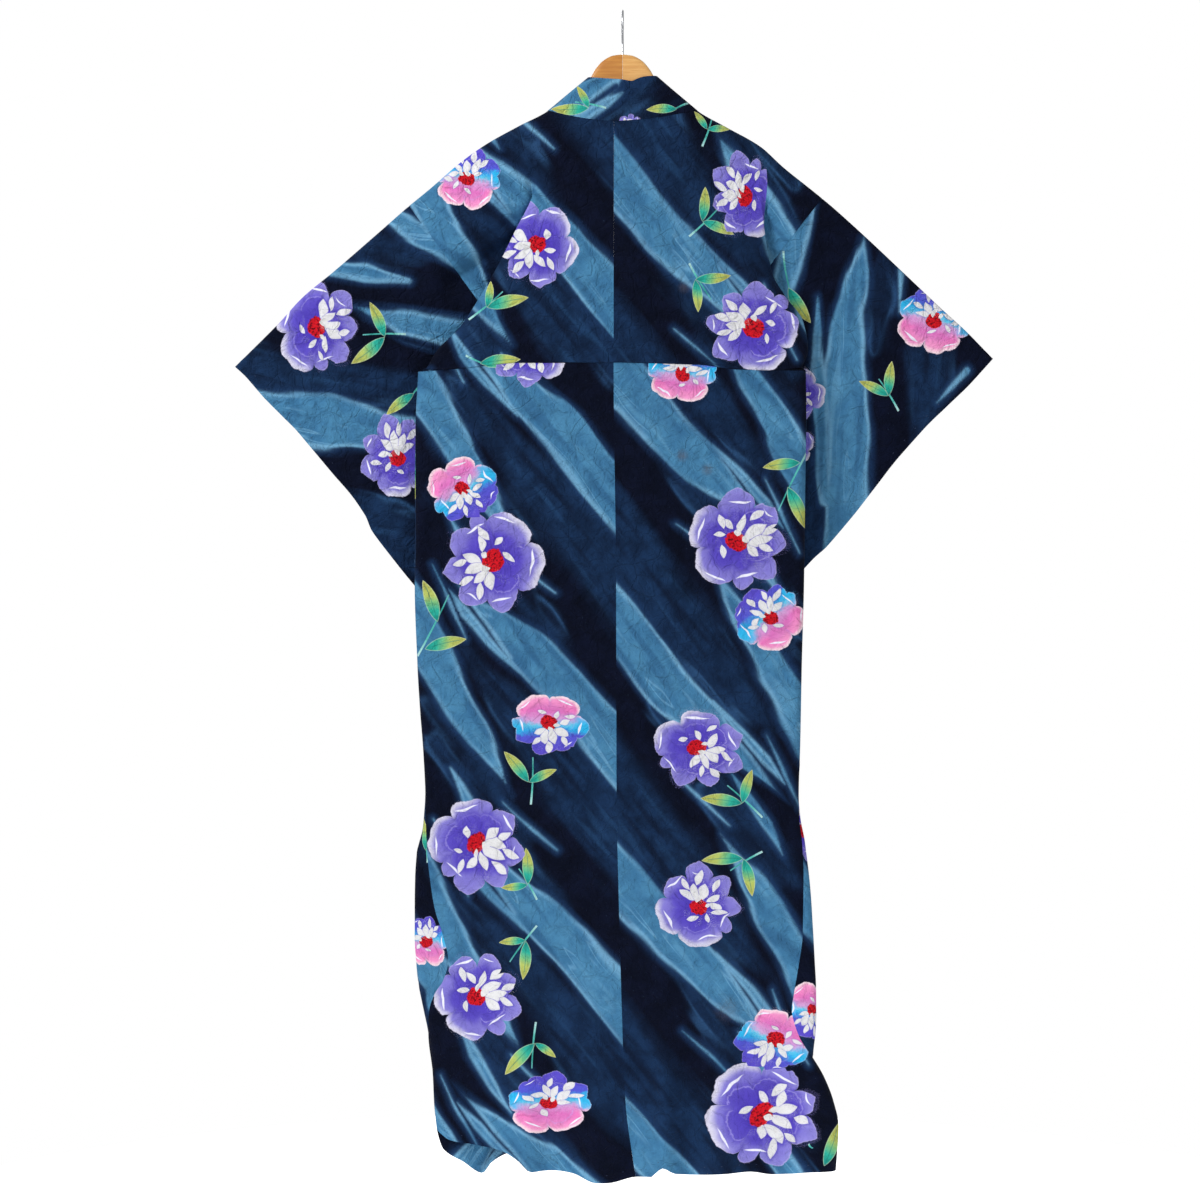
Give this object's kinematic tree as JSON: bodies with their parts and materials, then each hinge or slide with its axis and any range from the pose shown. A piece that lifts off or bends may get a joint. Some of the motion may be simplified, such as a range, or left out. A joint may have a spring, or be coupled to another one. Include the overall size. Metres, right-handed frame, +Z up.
{
  "type": "kimono on a hanger",
  "caption": "Navy cotton kimono with a peony and leaf print and diagonal light bands, hung on a curved wooden hanger with a steel hook.",
  "frame": {"origin": "the underside of the hook's crown, where the rail carries the hanger", "axes": "+Z up, +Y out of the garment's back, +X to the wearer's left"},
  "size_m": [1.1028, 0.0652, 1.6974],
  "materials": {
    "cotton": "matt",
    "wood": "satin",
    "steel": "polished"
  },
  "bodies": {
    "root": {"back_left": "cotton", "back_right": "cotton", "front_left": "cotton", "front_right": "cotton", "okumi_left": "cotton", "okumi_right": "cotton", "collar": "cotton", "sleeve_left_back": "cotton", "sleeve_left_front": "cotton", "sleeve_right_back": "cotton", "sleeve_right_front": "cotton", "hanger_arm_left": "wood", "hanger_arm_right": "wood", "hook": "steel"}
  },
  "joints": []
}
